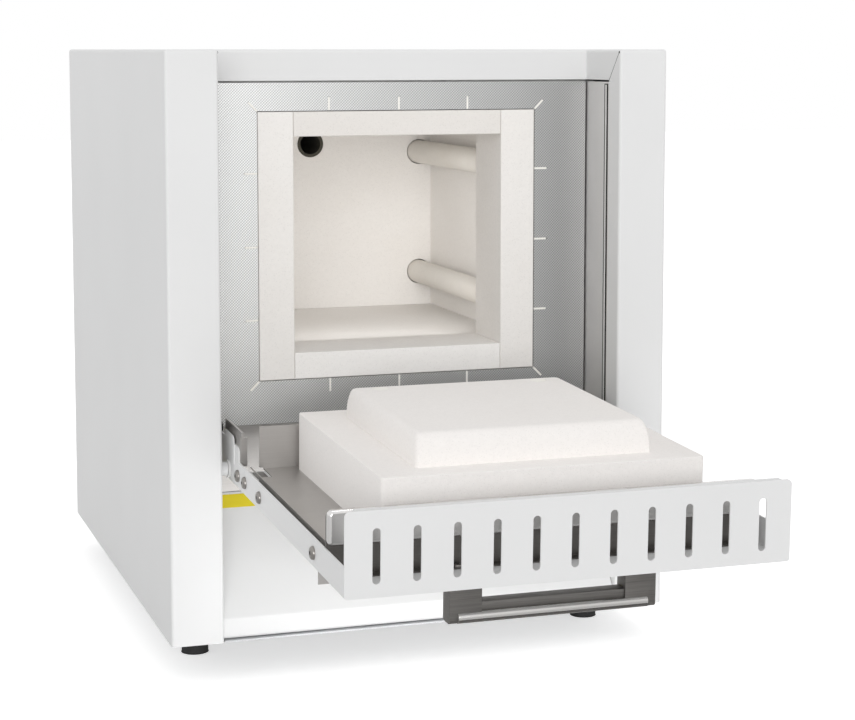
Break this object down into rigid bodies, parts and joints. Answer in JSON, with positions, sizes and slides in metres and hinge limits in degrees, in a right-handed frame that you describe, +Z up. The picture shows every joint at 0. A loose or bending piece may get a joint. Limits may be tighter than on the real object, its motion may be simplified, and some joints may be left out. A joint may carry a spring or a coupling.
{
  "type": "muffle furnace",
  "caption": "Bench-top muffle furnace with a drop-down door, brick-lined chamber, ceramic heating tubes and inclined control panel.",
  "frame": {"origin": "on the bench under the middle of the whole length with the door open, at the foot bottoms", "axes": "+Z up, -Y towards the user and the open door, +X to the user's right"},
  "size_m": [0.53, 1.0502, 0.628],
  "materials": {
    "light_paint": "fine satin powder coat, light grey",
    "yellow_paint": "satin, plain yellow",
    "patterned_stainless": "fine embossed linen pattern, matt",
    "liner_stainless": "finely drawn sheet, satin",
    "smooth_stainless": "smooth satin sheet",
    "galvanised": "dull zinc-coated sheet",
    "fired_brick": "fine-pored warm off-white, matt",
    "door_brick": "vacuum-formed off-white, matt",
    "fibre_board": "white fibre, matt",
    "tube_ceramic": "dense matt ceramic, slightly tan",
    "heater_wire": "oxidised dark wire",
    "bright_screw": "bright zinc or stainless",
    "bearing_brass": "turned, satin",
    "black_rubber": "matt black",
    "black_plastic": "finely textured, near black",
    "key_plastic": "satin mid grey",
    "rocker_plastic": "gloss black",
    "display_glass": "dark smoked, glossy",
    "power_aluminium": "extruded, plain",
    "handle_grey": "dark warm grey, satin",
    "polished_steel": "polished round bar"
  },
  "bodies": {
    "housing": {"housing_cover": "light_paint", "rear_panel": "light_paint", "base_plate": "galvanised", "lower_front_panel": "light_paint", "colour_band": "yellow_paint", "front_plate": "patterned_stainless", "lower_shield_plate": "smooth_stainless", "left_recess_liner": "liner_stainless", "right_recess_liner": "liner_stainless", "collar_post_left": "fired_brick", "collar_post_right": "fired_brick", "collar_lintel": "fired_brick", "collar_sill": "fired_brick", "chamber_floor": "fired_brick", "chamber_roof": "fired_brick", "chamber_wall_left": "fired_brick", "chamber_wall_right": "fired_brick", "chamber_wall_rear": "fired_brick", "backup_insulation": "fibre_board", "inner_casing": "galvanised", "casing_supports": "galvanised", "heating_tubes": "tube_ceramic", "heating_elements": "heater_wire", "thermocouple": "tube_ceramic", "exhaust_tube": "tube_ceramic", "exhaust_spigot": "smooth_stainless", "controller_case": "black_plastic", "controller_bezel": "black_plastic", "display_window": "display_glass", "rocker_frame": "black_plastic", "mains_gland": "black_plastic", "power_unit": "power_aluminium", "hinge_brackets": "galvanised", "hinge_pins": "bright_screw", "stop_buffers": "black_rubber", "feet": "black_rubber", "rear_screws": "bright_screw"},
    "door": {"door_shell": "light_paint", "door_end_wall": "light_paint", "door_tray": "smooth_stainless", "door_block": "door_brick", "block_caps": "tube_ceramic", "hinge_arm_left": "smooth_stainless", "hinge_arm_right": "smooth_stainless", "hinge_bushes": "bearing_brass", "door_screws": "bright_screw", "handle_mounts": "handle_grey", "handle_bar": "smooth_stainless", "handle_rod": "polished_steel", "slide_guides": "smooth_stainless"},
    "vent_slide": {"air_slide": "smooth_stainless"},
    "menu_button": {"key_menu": "key_plastic"},
    "down_button": {"key_down": "key_plastic"},
    "up_button": {"key_up": "key_plastic"},
    "start_button": {"key_start": "key_plastic"},
    "switch_rocker": {"mains_rocker": "rocker_plastic"}
  },
  "joints": [
    {"name": "door_hinge", "type": "hinge", "parent": "housing", "child": "door", "pos_m": [0, -0.10525, 0.2107], "axis": [-1, 0, 0], "range_deg": [0, 91.9]},
    {"name": "vent_slide_travel", "type": "slide", "parent": "door", "child": "vent_slide", "axis": [1, 0, 0], "range_m": [0, 0.025]},
    {"name": "menu_press", "type": "slide", "parent": "housing", "child": "menu_button", "axis": [0, 0.8009, -0.5988], "range_m": [0, 0.0012], "stiffness_N_per_m": 250},
    {"name": "down_press", "type": "slide", "parent": "housing", "child": "down_button", "axis": [0, 0.8009, -0.5988], "range_m": [0, 0.0012], "stiffness_N_per_m": 250},
    {"name": "up_press", "type": "slide", "parent": "housing", "child": "up_button", "axis": [0, 0.8009, -0.5988], "range_m": [0, 0.0012], "stiffness_N_per_m": 250},
    {"name": "start_press", "type": "slide", "parent": "housing", "child": "start_button", "axis": [0, 0.8009, -0.5988], "range_m": [0, 0.0012], "stiffness_N_per_m": 250},
    {"name": "rocker_tilt", "type": "hinge", "parent": "housing", "child": "switch_rocker", "pos_m": [0.015, -0.07645, 0.1155], "axis": [-1, 0, 0], "range_deg": [0, 24]}
  ]
}
